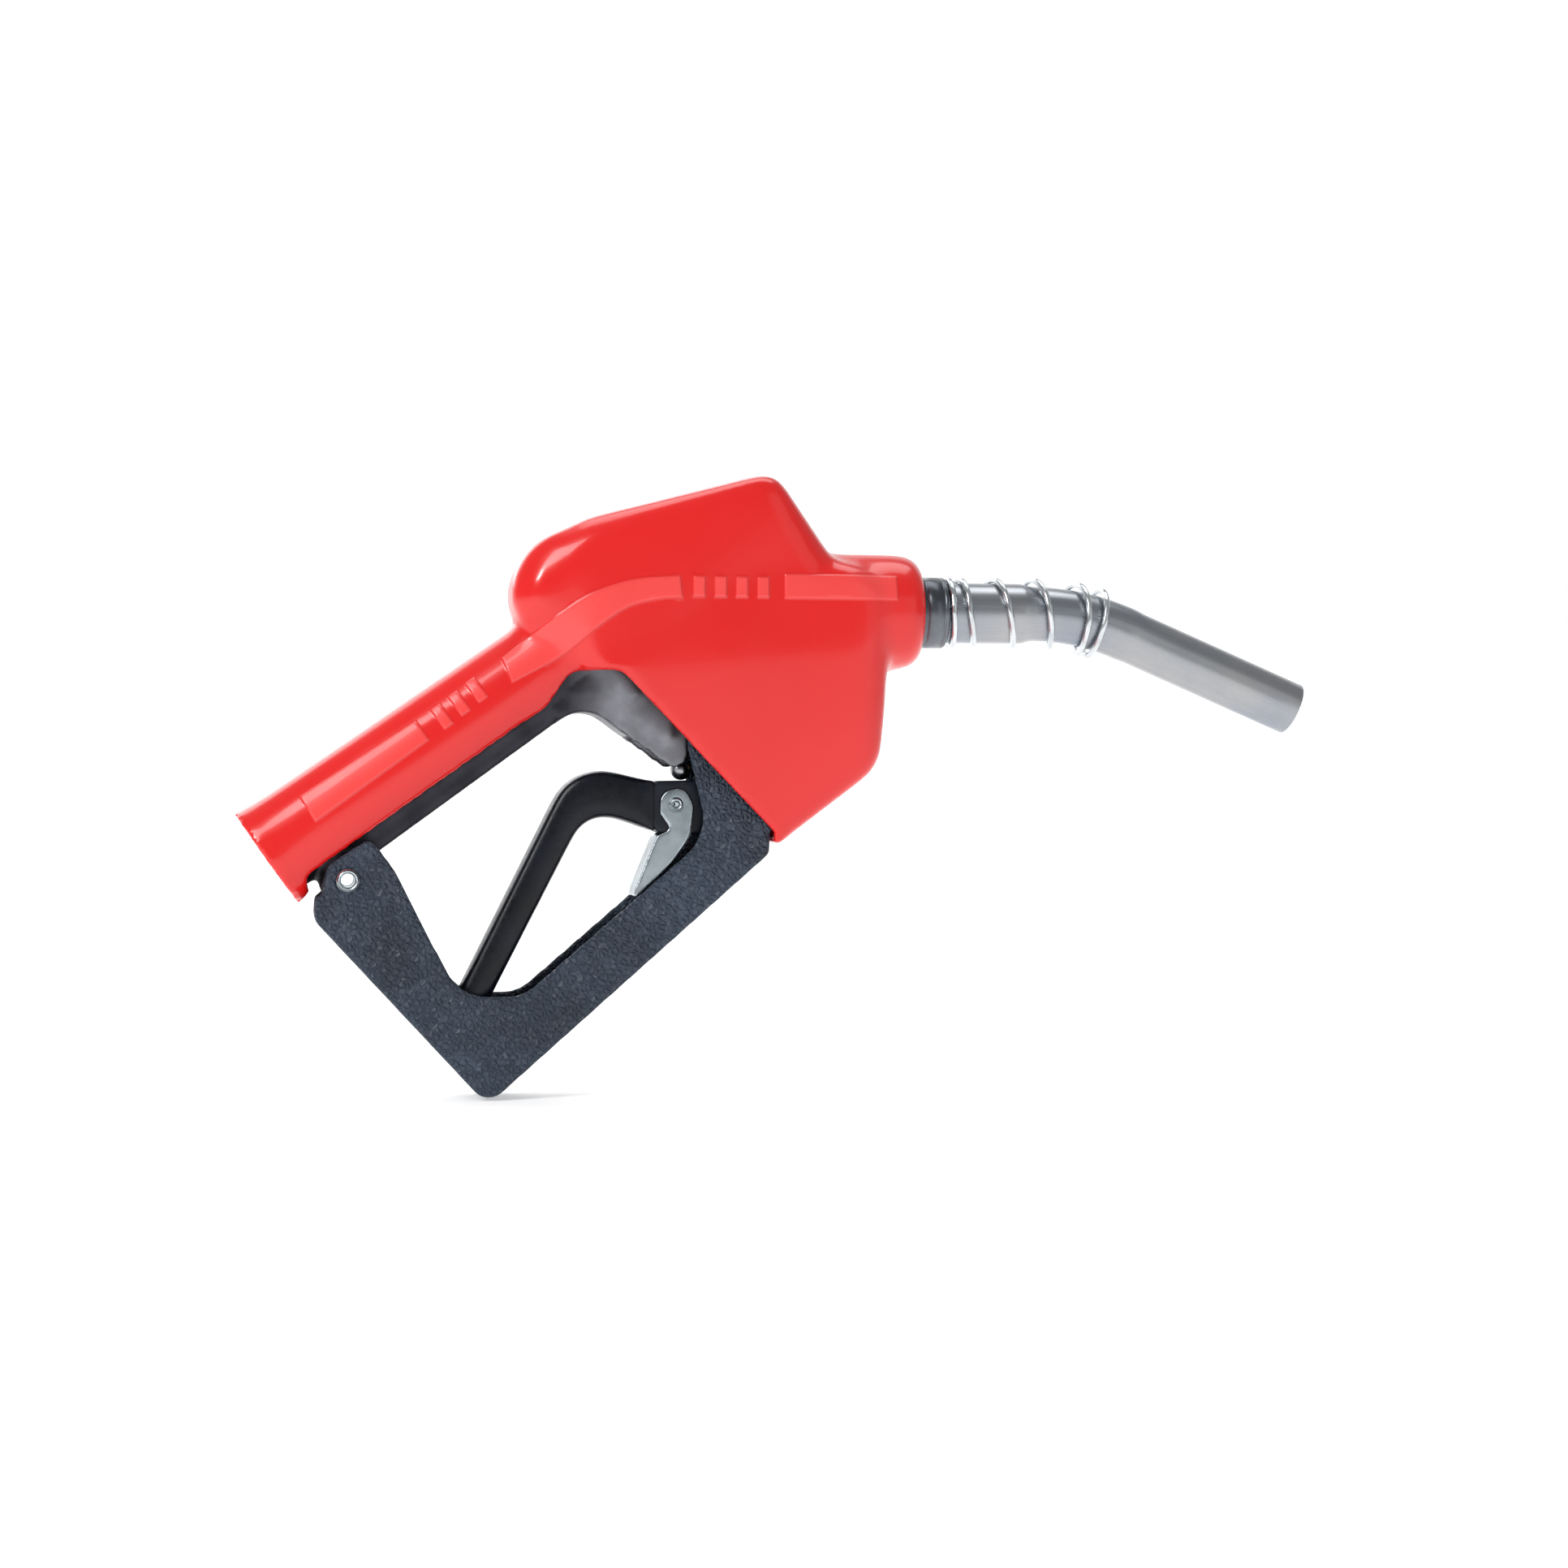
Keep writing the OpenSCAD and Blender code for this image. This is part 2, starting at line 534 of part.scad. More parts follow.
module poppet_spring() color("silver") along_valve(0)
    coil(stem_d / 2 + 4, 0.7, seat_t + disc_t + poppet_t, plug_low, 4.5);
module poppet_cap() color("gray") along_valve(0) difference() {
    union() {
        translate([0, 0, plug_low]) cylinder(r = chamber_d / 2 - run_gap, h = barrel_high - plug_low + over);
        translate([0, 0, barrel_high + 0.02]) cylinder(r = barrel_r - 1, h = 3);
        translate([0, 0, barrel_high + 3]) cylinder(r = barrel_r - 4, h = 5, $fn = 6);
    }
    translate([0, 0, plug_low - over]) cylinder(r = stem_d / 2 + 0.6, h = 9);
    translate([0, 0, barrel_high - 3]) difference() {
        cylinder(r = chamber_d / 2 + 2, h = 2);
        cylinder(r = chamber_d / 2 - 1.4, h = 2);
    }
}
module poppet_cap_seal() color("black") along_valve(barrel_high - 2)
    rotate_extrude() translate([chamber_d / 2 - 0.75, 0]) circle(r = 0.65);
module stem_packing() color("black") along_valve(packing_low) difference() {
    cylinder(r = gland_r - 0.02, h = gland_top - packing_low - 0.02);
    translate([0, 0, -over]) cylinder(r = stem_d / 2 + 0.02, h = 6);
}
module packing_nut() color("gold") along_valve(nut_low) difference() {
    union() {
        cylinder(r = gland_r + 1.4, h = boss_low - nut_low - 0.02, $fn = 6);
        cylinder(r = gland_r - 0.02, h = packing_low - nut_low - 0.02);
    }
    translate([0, 0, -over]) cylinder(r = stem_d / 2 + run_gap, h = 20);
}

// Trip mechanism
module trip_plunger() color("silver") difference() {
    union() {
        along_trip(-5.5) cylinder(d = plunger_d, h = plunger_len + 5.5);
        along_trip(collar_low) cylinder(r = pocket_r - 0.3, h = collar_high - collar_low);
    }
    across(fulcrum) cylinder(d = pin_d, h = 60, center = true);
    along_trip(ball_w - 12) cylinder(r = latch_bore_r, h = plunger_len);
    for (k = [0:2]) along_trip(ball_w) rotate([0, 0, 120 * k]) rotate([0, 90, 0])
        cylinder(d = ball_d + 2 * run_gap, h = plunger_d);
}
module plunger_guide() color("gold") along_trip(guide_low) difference() {
    cylinder(r = pocket_r - run_gap, h = guide_high - guide_low);
    translate([0, 0, -over]) cylinder(r = plunger_d / 2 + run_gap, h = 10);
}
module plunger_spring() color("silver") along_trip(0)
    coil(plunger_d / 2 + 1.6, 0.6, guide_high, collar_low, 3.5);
module latch_ball(k) {
    color("silver") along_trip(ball_w) rotate([0, 0, 120 * k]) translate([ball_out, 0, 0])
        sphere(d = ball_d);
}
module latch_ball_1() { latch_ball(0); }
module latch_ball_2() { latch_ball(1); }
module latch_ball_3() { latch_ball(2); }
module latch_pin() color("silver") along_trip(0) {
    translate([0, 0, ball_w - 8.5]) cylinder(r1 = neck_r, r2 = latch_pin_d / 2, h = 7.5);
    translate([0, 0, ball_w - 1]) cylinder(d = latch_pin_d, h = cap_low + 3.4 - ball_w + 1);
}
module diaphragm() color("black") along_trip(flange_high) difference() {
    cylinder(r = cap_d / 2 - 0.5, h = diaphragm_t - 0.02);
    translate([0, 0, -over]) cylinder(r = latch_bore_r, h = 5);
    cap_screw_places() translate([0, 0, -over]) cylinder(r = cap_screw_d / 2 + run_gap, h = 5);
}
module diaphragm_plate() color("silver") along_trip(cap_low + 0.05) difference() {
    cylinder(r = 9, h = 1.5);
    translate([0, 0, -over]) cylinder(d = latch_pin_d, h = 5);
}
module diaphragm_spring() color("silver") along_trip(0)
    coil(6.5, 0.5, cap_low + 1.6, cap_room_top, 3);
module cap_screw_places() {
    for (a = [45:90:315]) rotate([0, 0, a]) translate([cap_d / 2 - 3, 0, 0]) children();
}
module diaphragm_cap() color("gray") along_trip(0) difference() {
    union() {
        translate([0, 0, cap_low]) cylinder(d = cap_d, h = 4);
        translate([0, 0, cap_low + 4]) cylinder(r1 = cap_d / 2, r2 = cap_d / 2 - 7, h = cap_top - cap_low - 4);
    }
    translate([0, 0, cap_low - over]) cylinder(r = cap_d / 2 - 6.5, h = 3 + over);
    translate([0, 0, cap_low + 3 - 0.01]) cylinder(r1 = cap_d / 2 - 6.5, r2 = cap_d / 2 - 10,
                                                   h = cap_room_top - cap_low - 3);
    cap_screw_places() translate([0, 0, cap_low - over]) cylinder(r = cap_screw_d / 2 + run_gap, h = 20);
    cap_screw_places() translate([0, 0, cap_low + 3]) cylinder(d = cap_screw_d + 2.6, h = 20);
}
module cap_screws() color("silver") along_trip(0) cap_screw_places() difference() {
    union() {
        translate([0, 0, flange_low - 5]) cylinder(d = cap_screw_d, h = cap_low + 4 - flange_low + 5);
        translate([0, 0, cap_low + 3]) cylinder(d = cap_screw_d + 2, h = 2.2);
    }
    translate([0, 0, cap_low + 4]) cylinder(d = 1.8, h = 3, $fn = 6);
}

// Check valve in the nose
module check_seat() color("gold") along_nose(check_x) difference() {
    cylinder(r = nose_bore_d / 2 - run_gap, h = check_t);
    translate([0, 0, -over]) cylinder(r = nose_bore_d / 2 - 5, h = check_t + 2 * over);
}
module check_poppet() color("gold") along_nose(check_x + check_t) {
    cylinder(r = nose_bore_d / 2 - 3, h = 3);
    translate([0, 0, 3 - 0.01]) cylinder(r = check_rod_r, h = 4);
}
module check_spring() color("silver") along_nose(0)
    coil(nut_hole_r + 1.5, 0.5, check_x + check_t + 3, spigot_start, 4);

// Spout
module spout_nut() color("dimgray") difference() {
    union() {
        along_nose(spigot_start) cylinder(r = nose_bore_d / 2 - run_gap, h = casting_face - spigot_start + over);
        along_nose(casting_face) cylinder(r = nut_r, h = nut_end - casting_face - 1.2);
        along_nose(nut_end - 1.2) cylinder(r1 = nut_r, r2 = nut_r - 1, h = 1.2);
    }
    along_nose(spigot_start - over) cylinder(r = nut_hole_r, h = 10);
    along_nose(spout_seat) cylinder(r = spout_base_d / 2 + run_gap, h = 40);
    along_nose(spigot_start + 2.4) difference() {
        cylinder(r = nose_bore_d / 2 + 2, h = 2);
        cylinder(r = nose_bore_d / 2 - 1.1, h = 2);
    }
}
module nut_seal() color("black") along_nose(spigot_start + 3.4)
    rotate_extrude() translate([nose_bore_d / 2 - 0.57, 0]) circle(r = 0.5);
module bend(run_r, r) {
    translate([bend_centre[0], 0, bend_centre[1]]) rotate([90, 0, 0])
        rotate([0, 0, 90 - spout_bend]) rotate_extrude(angle = spout_bend)
            translate([run_r, 0]) circle(r = r);
}
module along_tip(d) { at_point(bend_end + d * spout_dir) rotate([0, 90 + spout_bend, 0]) children(); }
// Where straight and bent stretches meet, one reaches a little into the other
lap = 0.5;
step_in = 0.05;
module spout_tube() color("lightgray") difference() {
    union() {
        along_nose(spout_seat) cylinder(d = spout_base_d, h = spout_base_end - cone_len - spout_seat);
        along_nose(spout_base_end - cone_len) cylinder(d1 = spout_base_d, d2 = spout_mid_d, h = cone_len);
        along_nose(spout_base_end - lap) cylinder(d = spout_mid_d, h = 2 * lap);
        bend(spout_bend_r, spout_mid_d / 2 - step_in);
        along_tip(-lap) cylinder(d1 = spout_mid_d, d2 = spout_d, h = 4 + lap);
        along_tip(4 - lap) cylinder(d = spout_d, h = spout_end_len - 4 + lap);
    }
    along_nose(spout_seat - over) cylinder(d = spout_bore_d, h = spout_base_end - spout_seat + over + lap);
    bend(spout_bend_r, spout_bore_d / 2 - step_in);
    along_tip(-lap) cylinder(d = spout_bore_d, h = spout_end_len + over + lap);
    along_tip(spout_end_len - vent_hole_back) rotate([0, 90, 0])
        cylinder(r = 1.6, h = 20);
}
module vent_run(r, past) {
    along_nose(spout_seat + 1 - past) translate([vent_drop, 0, 0])
        cylinder(r = r, h = spout_base_end - spout_seat - 1 + lap + past);
    bend(spout_bend_r - vent_drop, r - step_in);
    along_tip(-lap) translate([vent_drop, 0, 0])
        cylinder(r = r, h = spout_end_len - vent_hole_back + 3 + lap - past);
}
module vent_tube() color("silver") difference() {
    vent_run(vent_r, 0);
    vent_run(vent_r - 0.7, 1);
    along_tip(spout_end_len - vent_hole_back) translate([vent_drop, 0, 0]) rotate([0, 90, 0])
        cylinder(r = 1.6, h = 20);
}
// The anchor spring follows the spout's middle: close, open, then close turns
coil_r = spout_base_d / 2 + wire_d / 2 + 0.3;
coil_start = nut_end + wire_d / 2 + 0.2;
coil_turns = 5;
coil_steps = 18;
close_pitch = 6.4;
open_pitch = 16;
closed_end = 0.5;      // turns at each end that don't advance
function coil_run(n) =
    let (m = min(max(n, 0), coil_turns), open_turns = min(max(m - 1, 0), coil_turns - 2))
    open_pitch * open_turns + close_pitch * (m - open_turns);
function spout_middle(x) =
    x < spout_base_end ? [x, nose_z]
    : bend_centre + spout_bend_r * [sin((x - spout_base_end) / spout_bend_r * 180 / PI),
                                    cos((x - spout_base_end) / spout_bend_r * 180 / PI)];
function spout_lean(x) =
    x < spout_base_end ? 0 : (x - spout_base_end) / spout_bend_r * 180 / PI;
function coil_point(n) =
    let (x = coil_start + coil_run(n), m = spout_middle(x), a = spout_lean(x), h = coil_r * cos(360 * n + 90))
    [m[0] + h * sin(a), -coil_r * sin(360 * n + 90), m[1] + h * cos(a)];
module anchor_spring() color("silver")
    sweep([for (i = [-closed_end * coil_steps:(coil_turns + closed_end) * coil_steps])
               coil_point(i / coil_steps)], wire_d / 2, 8);

body_casting();
inlet_insert();
scuff_cover();
lever_guard();
guard_rivet();
guard_screws();
hold_open_rack();
lever_core();
lever_sleeve();
lever_pin();
hold_open_clip();
clip_rivet();
clip_spring();
poppet_holder();
poppet_disc();
disc_retainer();
valve_stem();
poppet_spring();
poppet_cap();
poppet_cap_seal();
stem_packing();
packing_nut();
trip_plunger();
plunger_guide();
plunger_spring();
latch_ball_1();
latch_ball_2();
latch_ball_3();
latch_pin();
diaphragm();
diaphragm_plate();
diaphragm_spring();
diaphragm_cap();
cap_screws();
check_seat();
check_poppet();
check_spring();
spout_nut();
nut_seal();
spout_tube();
vent_tube();
anchor_spring();
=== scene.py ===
# %% [markdown]
# # A fuel nozzle, finished piece by piece
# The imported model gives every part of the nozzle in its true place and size.
# This lesson leaves those places alone, and gives each part the surface of the
# real thing: moulded vinyl, grained nylon, cast and drawn aluminium, zinc plate.
# All lengths are in metres, so a millimetre is 0.001.

# %% Load the frame
import json
import math

import bmesh
import bpy
import numpy as np
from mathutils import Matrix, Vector


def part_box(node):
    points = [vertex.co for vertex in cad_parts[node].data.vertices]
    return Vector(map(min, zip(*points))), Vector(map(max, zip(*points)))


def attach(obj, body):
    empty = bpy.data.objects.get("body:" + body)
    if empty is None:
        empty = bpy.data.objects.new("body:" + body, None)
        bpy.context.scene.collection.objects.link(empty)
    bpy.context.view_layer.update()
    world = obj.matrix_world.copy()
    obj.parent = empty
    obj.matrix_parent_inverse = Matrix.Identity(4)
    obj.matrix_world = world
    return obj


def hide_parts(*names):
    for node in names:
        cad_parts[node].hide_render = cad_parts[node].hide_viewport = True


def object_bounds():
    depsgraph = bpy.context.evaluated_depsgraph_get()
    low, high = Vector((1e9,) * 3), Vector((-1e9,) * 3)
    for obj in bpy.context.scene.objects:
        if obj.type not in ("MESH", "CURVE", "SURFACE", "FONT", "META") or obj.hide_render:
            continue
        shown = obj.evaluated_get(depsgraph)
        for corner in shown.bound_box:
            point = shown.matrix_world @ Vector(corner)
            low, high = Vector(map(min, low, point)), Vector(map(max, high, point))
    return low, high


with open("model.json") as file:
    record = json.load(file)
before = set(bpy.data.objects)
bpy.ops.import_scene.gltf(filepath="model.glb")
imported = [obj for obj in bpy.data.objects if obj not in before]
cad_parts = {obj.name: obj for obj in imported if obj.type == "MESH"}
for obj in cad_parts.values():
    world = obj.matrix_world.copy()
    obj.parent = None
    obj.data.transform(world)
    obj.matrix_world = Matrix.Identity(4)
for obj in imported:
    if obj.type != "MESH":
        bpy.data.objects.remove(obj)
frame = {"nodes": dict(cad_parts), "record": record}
nodes = frame["nodes"]
cad_low, cad_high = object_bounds()
MM = 0.001
print("parts:", len(nodes), "size in mm:", [round(x / MM) for x in cad_high - cad_low])

# %% [markdown]
# ## The camera
# The nozzle is shown from its left side and turned by ten degrees, level with
# the middle of the grip. A long lens keeps the sides nearly parallel, as they
# look when a tool lies at arm's length.

# %% Place the camera
LOOK_AT = Vector((0.1974, 0, 0.0284))
CAMERA_TURN = math.radians(-10)
CAMERA_FAR = 1.1
camera_data = bpy.data.cameras.new("camera")
camera_data.lens = 65.07
camera = bpy.data.objects.new("camera", camera_data)
bpy.context.scene.collection.objects.link(camera)
back = Vector((math.sin(CAMERA_TURN), -math.cos(CAMERA_TURN), 0))
camera.location = LOOK_AT + CAMERA_FAR * back
camera.rotation_euler = (-back).to_track_quat("-Z", "Y").to_euler()
bpy.context.scene.camera = camera
bpy.context.scene.view_settings.view_transform = "Standard"
print("camera at", [round(x, 3) for x in camera.location])

# %% [markdown]
# ## Colours and nodes
# Colours are easiest to pick as hex values, as on a paint card, but a shader
# works in linear light, so one function converts them. A second small function
# adds a node, sets what it is told and links its inputs, which keeps each
# material below short enough to read as a recipe.

# %% Two helpers for materials
def colour(hex_value):
    parts = [int(hex_value[i:i + 2], 16) / 255 for i in (0, 2, 4)]
    return [c / 12.92 if c <= 0.04045 else ((c + 0.055) / 1.055) ** 2.4 for c in parts] + [1]


def node(tree, kind, settings=None, values=None, links=None):
    made = tree.nodes.new(kind)
    for key, value in (settings or {}).items():
        setattr(made, key, value)
    for key, value in (values or {}).items():
        made.inputs[key].default_value = value
    for key, source in (links or {}).items():
        tree.links.new(source, made.inputs[key])
    return made


def new_material(name):
    material = bpy.data.materials.new(name)
    material.use_nodes = True
    tree = material.node_tree
    where = node(tree, "ShaderNodeTexCoord").outputs["Object"]
    return material, tree, tree.nodes["Principled BSDF"], where


def noise(tree, where, size_mm, detail=2.0, stretch=(1, 1, 1)):
    placed = node(tree, "ShaderNodeMapping", values={"Scale": stretch}, links={"Vector": where})
    return node(tree, "ShaderNodeTexNoise", values={"Scale": 1000 / size_mm, "Detail": detail},
                links={"Vector": placed.outputs["Vector"]}).outputs["Fac"]


def blend_colours(tree, factor, low, high, start=0.35, end=0.65):
    ramp = node(tree, "ShaderNodeValToRGB", links={"Fac": factor})
    for stop, place, value in zip(ramp.color_ramp.elements, (start, end), (low, high)):
        stop.position = place
        stop.color = colour(value)
    return ramp.outputs["Color"]


def spread(tree, factor, low, high):
    return node(tree, "ShaderNodeMapRange", {"clamp": False},
                {"To Min": low, "To Max": high, "From Min": 0.3, "From Max": 0.7},
                {"Value": factor}).outputs["Result"]


def relief(tree, height, depth_mm, strength=1.0, under=None):
    links = {"Height": height}
    if under is not None:
        links["Normal"] = under
    return node(tree, "ShaderNodeBump", values={"Distance": depth_mm * MM, "Strength": strength},
                links=links).outputs["Normal"]


print("helpers ready")

# %% [markdown]
# ## Plastics
# The cover is plastisol, a soft vinyl that is dipped or moulded and cures with a
# wet gloss. It has a faint orange peel and is a little darker where it is worn.
# The guard is glass-filled nylon from an etched mould: a leather grain of small
# cells about a millimetre wide. The lever wears a smoother satin vinyl.

# %% Glossy red vinyl
def glossy_vinyl():
    material, tree, skin, where = new_material("moulded plastisol vinyl, red")
    cloud = blend_colours(tree, noise(tree, where, 70, 1), "DB100C", "E71815", 0.1, 0.9)
    raised = node(tree, "ShaderNodeAttribute", {"attribute_name": "raised"}).outputs["Fac"]
    chalky = node(tree, "ShaderNodeMix", {"data_type": "RGBA"}, {"B": colour("F24340")},
                  {"Factor": raised, "A": cloud})
    chalky.inputs["Factor"].default_value = 0
    tree.links.new(chalky.outputs["Result"], skin.inputs["Base Color"])
    scuffs = spread(tree, noise(tree, where, 22, 2), 0.2, 0.27)
    matt = node(tree, "ShaderNodeMath", {"operation": "MULTIPLY_ADD"}, {1: 0.1},
                {0: raised, 2: scuffs})
    tree.links.new(matt.outputs["Value"], skin.inputs["Roughness"])
    peel = relief(tree, noise(tree, where, 3.0, 1), 0.015, 0.5)
    tree.links.new(relief(tree, noise(tree, where, 26, 0), 0.05, 0.4, peel), skin.inputs["Normal"])
    skin.inputs["IOR"].default_value = 1.5
    skin.inputs["Coat Weight"].default_value = 0.3
    skin.inputs["Coat Roughness"].default_value = 0.04
    return material


# %% Grained nylon and satin vinyl
def grained_nylon():
    material, tree, skin, where = new_material("moulded nylon, leather grain")
    cells = node(tree, "ShaderNodeTexVoronoi", {"feature": "DISTANCE_TO_EDGE"},
                 {"Scale": 1000 / 2.1, "Randomness": 1.0}, {"Vector": where}).outputs["Distance"]
    pads = node(tree, "ShaderNodeMapRange", values={"From Max": 0.3}, links={"Value": cells})
    tree.links.new(relief(tree, pads.outputs["Result"], 0.8, 1.0,
                          relief(tree, noise(tree, where, 0.7), 0.05, 0.6)),
                   skin.inputs["Normal"])
    worn = noise(tree, where, 25, 4)
    tree.links.new(blend_colours(tree, worn, "26313F", "364354"), skin.inputs["Base Color"])
    tree.links.new(spread(tree, noise(tree, where, 4), 0.42, 0.6), skin.inputs["Roughness"])
    skin.inputs["IOR"].default_value = 1.53
    return material


def satin_vinyl(name, low, high, rough):
    material, tree, skin, where = new_material(name)
    tree.links.new(blend_colours(tree, noise(tree, where, 12, 4), low, high),
                   skin.inputs["Base Color"])
    tree.links.new(spread(tree, noise(tree, where, 3, 5), rough - 0.08, rough + 0.08),
                   skin.inputs["Roughness"])
    tree.links.new(relief(tree, noise(tree, where, 0.9, 3), 0.04, 0.6), skin.inputs["Normal"])
    skin.inputs["Specular IOR Level"].default_value = 0.3
    return material


print("plastics ready")

# %% [markdown]
# ## Metals
# A metal's colour is its reflection, so what tells metals apart is how they were
# worked. Sand casting leaves a fine pebble, drawing leaves lines along the tube,
# plating is bright with faint clouds, and a lathe leaves rings.

# %% Metal recipes
def metal(name, low, high, rough, grain_mm, depth_mm, stretch=(1, 1, 1), cloud_mm=15):
    """A metal with clouds of colour and gloss, and a fine grain that can be stretched."""
    material, tree, skin, where = new_material(name)
    skin.inputs["Metallic"].default_value = 1
    tree.links.new(blend_colours(tree, noise(tree, where, cloud_mm, 5), low, high),
                   skin.inputs["Base Color"])
    tree.links.new(spread(tree, noise(tree, where, cloud_mm / 3, 5, stretch),
                          rough - 0.07, rough + 0.09), skin.inputs["Roughness"])
    tree.links.new(relief(tree, noise(tree, where, grain_mm, 3, stretch), depth_mm, 0.6),
                   skin.inputs["Normal"])
    return material


# %% Cast aluminium, painted dark grey, and lighter grey from 112 to 132 mm forward
def cast_aluminium():
    material, tree, skin, where = new_material("sand cast aluminium, tumbled")
    skin.inputs["Metallic"].default_value = 1
    lighter_grey = blend_colours(tree, noise(tree, where, 16, 4), "6A6B70", "85868C")
    dark = blend_colours(tree, noise(tree, where, 10, 4), "303035", "3E3E44")
    # Along x the casting fades from the dark grey to the lighter grey between 112 and 132 mm.
    forward = node(tree, "ShaderNodeSeparateXYZ", links={"Vector": where}).outputs["X"]
    front_fade = node(tree, "ShaderNodeMapRange", values={"From Min": 0.112, "From Max": 0.132},
                  links={"Value": forward}).outputs["Result"]
    tree.links.new(node(tree, "ShaderNodeMix", {"data_type": "RGBA"}, links={
        "Factor": front_fade, "A": dark, "B": lighter_grey}).outputs["Result"], skin.inputs["Base Color"])
    tree.links.new(spread(tree, noise(tree, where, 5, 5), 0.38, 0.54), skin.inputs["Roughness"])
    tree.links.new(relief(tree, noise(tree, where, 1.0, 3), 0.06, 0.6), skin.inputs["Normal"])
    return material


# %% Lines drawn along a tube
def drawn_tube():
    """Draw lines are fine: they run 60 mm along the tube and are under a millimetre apart."""
    material, tree, skin, where = new_material("drawn aluminium tube, handled")
    along = node(tree, "ShaderNodeUVMap", {"uv_map": "along"}).outputs["UV"]
    lines = node(tree, "ShaderNodeTexNoise", values={"Scale": 1.0, "Detail": 4.0}, links={
        "Vector": node(tree, "ShaderNodeMapping", values={"Scale": (16, 110, 1)},
                       links={"Vector": along}).outputs["Vector"]}).outputs["Fac"]
    grime = noise(tree, where, 40, 3)
    skin.inputs["Metallic"].default_value = 1
    tree.links.new(blend_colours(tree, grime, "9298A2", "ACACAC", 0.3, 0.7),
                   skin.inputs["Base Color"])
    tree.links.new(spread(tree, lines, 0.24, 0.36), skin.inputs["Roughness"])
    tree.links.new(relief(tree, lines, 0.012, 0.6), skin.inputs["Normal"])
    return material


# %% One finish for each of the record's slots
finishes = {
    "cover_vinyl": glossy_vinyl(),
    "guard_plastic": grained_nylon(),
    "lever_vinyl": satin_vinyl("dipped satin vinyl, black", "05080F", "0B111C", 0.3),
    "lever_paint": satin_vinyl("powder coated steel, black", "0C1018", "171C26", 0.36),
    "seal_rubber": satin_vinyl("moulded nitrile rubber", "111113", "1C1C1F", 0.6),
    "cast_body": cast_aluminium(),
    "plated_rivet": metal("zinc plated steel", "B9C3C8", "D2DADF", 0.22, 2, 0.005, cloud_mm=6),
    "clip_steel": metal("zinc plated spring sheet", "919CA1", "B2BCC1", 0.25, 2, 0.006,
                        cloud_mm=14),
    "rack_steel": metal("pickled steel strip", "4E5054", "66686C", 0.45, 0.8, 0.04),
    "pin_steel": metal("ground steel", "9A9C9F", "B4B6BA", 0.25, 0.5, 0.01),
    "spring_steel": metal("drawn spring wire", "8C8E92", "AFB1B5", 0.25, 0.4, 0.01),
    "anchor_wire": metal("bright drawn steel wire", "C4C9CC", "E0E4E7", 0.16, 1, 0.004,
                         cloud_mm=9),
    "valve_brass": metal("turned brass", "B08A3E", "D0AA5A", 0.28, 0.4, 0.015),
    "cap_metal": metal("turned aluminium", "7C7E82", "9C9EA2", 0.32, 0.4, 0.02),
    "nut_metal": metal("dark anodised aluminium", "565A60", "72767C", 0.3, 1, 0.005, cloud_mm=16),
    "spout_metal": drawn_tube(),
    "vent_steel": metal("drawn stainless tube", "85878A", "A2A4A8", 0.3, 0.5, 0.02, (0.1, 1, 1)),
}
slot_of = {part["node"]: part["material_slot"] for part in frame["record"]["subparts"]}
for name, part in nodes.items():
    part.data.materials.clear()
    part.data.materials.append(finishes[slot_of[name]])
print("finishes:", len(finishes))

# %% [markdown]
# ## Working on a copy of a part
# The frame's own meshes stay as they are, so a part that needs softer edges
# starts as a merged copy. A voxel remesh gives it even faces, and then each
# point moves towards its neighbours a few times. Every pass rounds the edges a
# little more, as melting would, and a weight holds chosen points still.

# %% Copy, melt and finish
def merged_copy(name, *sources):
    work = bmesh.new()
    for source in sources:
        work.from_mesh(nodes[source].data)
    bmesh.ops.remove_doubles(work, verts=work.verts, dist=0.00001)
    mesh = bpy.data.meshes.new(name)
    work.to_mesh(mesh)
    work.free()
    piece = bpy.data.objects.new(name, mesh)
    bpy.context.scene.collection.objects.link(piece)
    return piece


def plain_mesh(piece):
    bpy.context.view_layer.update()
    graph = bpy.context.evaluated_depsgraph_get()
    mesh = bpy.data.meshes.new_from_object(piece.evaluated_get(graph))
    piece.modifiers.clear()
    piece.data = mesh
    return mesh


def points_of(mesh):
    points = np.empty(len(mesh.vertices) * 3)
    mesh.vertices.foreach_get("co", points)
    return points.reshape(-1, 3)


def relaxed(mesh, passes, hold=None):
    points = points_of(mesh)
    ends = np.empty(len(mesh.edges) * 2, np.int64)
    mesh.edges.foreach_get("vertices", ends)
    a, b = ends.reshape(-1, 2).T
    count = np.bincount(np.concatenate([a, b]), minlength=len(points))[:, None]
    share = 0.5 if hold is None else 0.5 * hold(points)[:, None]
    for _ in range(passes):
        total = np.stack([np.bincount(a, points[b, k], len(points))
                          + np.bincount(b, points[a, k], len(points)) for k in range(3)], 1)
        points = points + share * (total / count - points)
    mesh.vertices.foreach_set("co", points.ravel())
    mesh.update()
    return points


def melted(name, voxel_mm, passes, *sources, hold=None):
    piece = merged_copy(name, *sources)
    remesh = piece.modifiers.new("even faces", "REMESH")
    remesh.mode = "VOXEL"
    remesh.voxel_size = voxel_mm * MM
    relaxed(plain_mesh(piece), passes, hold)
    return piece


def finished(piece, slot, body, *stands_for):
    mesh = piece.data
    mesh.materials.clear()
    mesh.materials.append(finishes[slot])
    mesh.shade_smooth()
    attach(piece, body)
    if stands_for:
        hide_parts(*stands_for)
    mesh.calc_loop_triangles()
    print(piece.name, len(mesh.loop_triangles), "triangles")
    return piece


print("workshop ready")

